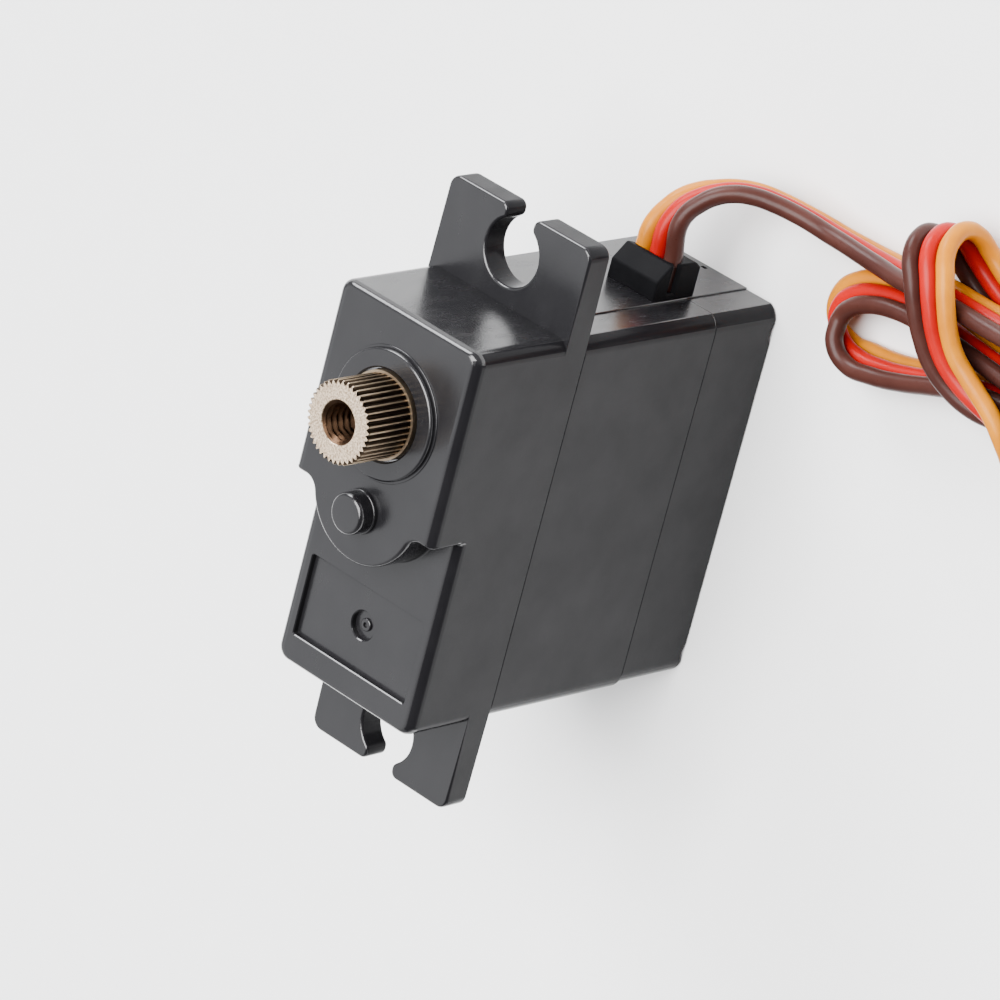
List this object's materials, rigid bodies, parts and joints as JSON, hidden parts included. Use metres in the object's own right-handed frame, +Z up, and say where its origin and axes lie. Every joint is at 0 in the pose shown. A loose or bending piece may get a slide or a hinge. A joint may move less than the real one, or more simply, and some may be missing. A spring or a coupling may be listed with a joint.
{
  "type": "servo motor",
  "caption": "Small metal-gear servo motor: boxy case with open mounting ears, splined output shaft, internal gear train and a flat lead wound up, ending in a connector.",
  "frame": {"origin": "centre of the case's base", "axes": "+Z up along the output shaft, +X towards the end where the lead leaves the case, -Y and +Y the large side faces"},
  "size_m": [0.0434, 0.0562, 0.0316],
  "materials": {
    "case_plastic": "black glass-filled plastic, fine spark-eroded grain",
    "screw_steel": "black oxide steel",
    "polished_steel": "ground bearing steel",
    "brass": "machined brass",
    "gear_bronze": "machined bronze-coloured gear alloy",
    "can_steel": "nickel-plated drawn steel",
    "core_steel": "laminated silicon steel",
    "white_plastic": "natural nylon",
    "magnet": "sintered ferrite",
    "carbon": "pressed carbon",
    "copper": "enamelled copper",
    "deep_plastic": "black plastic",
    "connector_plastic": "black nylon",
    "board": "green solder mask",
    "chip": "black epoxy",
    "capacitor": "yellow epoxy",
    "relief_rubber": "black rubber",
    "wire_orange": "extruded insulation",
    "wire_red": "extruded insulation",
    "wire_brown": "extruded insulation"
  },
  "bodies": {
    "case": {"upper_case": "case_plastic", "middle_case": "case_plastic", "bottom_cover": "case_plastic", "case_screw_1": "screw_steel", "case_screw_2": "screw_steel", "case_screw_3": "screw_steel", "case_screw_4": "screw_steel", "idler_axle": "polished_steel", "bearing_outer_ring": "polished_steel", "deck_bush": "brass", "motor_can": "can_steel", "motor_end_cap": "white_plastic", "motor_bush": "brass", "motor_magnet_1": "magnet", "motor_magnet_2": "magnet", "motor_brush_1": "carbon", "motor_brush_2": "carbon", "motor_terminal_1": "brass", "motor_terminal_2": "brass", "sensor_housing": "deep_plastic", "sensor_base": "white_plastic", "sensor_track": "carbon", "sensor_wire_1": "wire_orange", "sensor_wire_2": "wire_red", "sensor_wire_3": "wire_brown", "circuit_board": "board", "control_chip": "chip", "motor_driver_chip": "chip", "board_capacitor": "capacitor", "strain_relief": "relief_rubber", "signal_wire_inner": "wire_orange", "power_wire_inner": "wire_red", "ground_wire_inner": "wire_brown", "signal_wire": "wire_orange", "power_wire": "wire_red", "ground_wire": "wire_brown", "lead_hank": "wire_brown", "signal_wire_tail": "wire_orange", "power_wire_tail": "wire_red", "ground_wire_tail": "wire_brown", "connector_housing": "connector_plastic", "connector_contact_1": "brass", "connector_contact_2": "brass", "connector_contact_3": "brass"},
    "rotor": {"motor_shaft": "polished_steel", "motor_pinion": "brass", "armature_core": "core_steel", "armature_coil_1": "copper", "armature_coil_2": "copper", "armature_coil_3": "copper", "commutator": "copper"},
    "first_gear": {"gear_1": "brass"},
    "second_gear": {"gear_2": "gear_bronze"},
    "third_gear": {"gear_3": "gear_bronze"},
    "output": {"output_gear": "gear_bronze", "bearing_inner_ring": "polished_steel", "sensor_shaft": "polished_steel", "sensor_wiper": "brass"},
    "ball_cage": {"bearing_ball_cage": "polished_steel"}
  },
  "joints": [
    {"name": "rotor_spin", "type": "hinge", "parent": "case", "child": "rotor", "pos_m": [-0.00575, 0, 0.02], "axis": [0, 0, 1], "range_deg": [-10250, 10250]},
    {"name": "first_gear_spin", "type": "hinge", "parent": "case", "child": "first_gear", "pos_m": [0.00005, 0, 0.02], "axis": [0, 0, 1], "range_deg": [-2140, 2140]},
    {"name": "second_gear_spin", "type": "hinge", "parent": "case", "child": "second_gear", "pos_m": [0.00655, 0, 0.02], "axis": [0, 0, 1], "range_deg": [-715, 715]},
    {"name": "third_gear_spin", "type": "hinge", "parent": "case", "child": "third_gear", "pos_m": [0.00005, 0, 0.02], "axis": [0, 0, 1], "range_deg": [-238, 238]},
    {"name": "output_spin", "type": "hinge", "parent": "case", "child": "output", "pos_m": [0.00655, 0, 0.02], "axis": [0, 0, 1], "range_deg": [-90, 90]},
    {"name": "ball_cage_spin", "type": "hinge", "parent": "case", "child": "ball_cage", "pos_m": [0.00655, 0, 0.02], "axis": [0, 0, 1], "range_deg": [-40.5, 40.5]}
  ],
  "couplings": [
    {"joint": "first_gear_spin", "follows": "rotor_spin", "ratio": -0.20833},
    {"joint": "second_gear_spin", "follows": "rotor_spin", "ratio": 0.069444},
    {"joint": "third_gear_spin", "follows": "rotor_spin", "ratio": -0.023148},
    {"joint": "output_spin", "follows": "rotor_spin", "ratio": 0.0087803},
    {"joint": "ball_cage_spin", "follows": "rotor_spin", "ratio": 0.0039024}
  ]
}
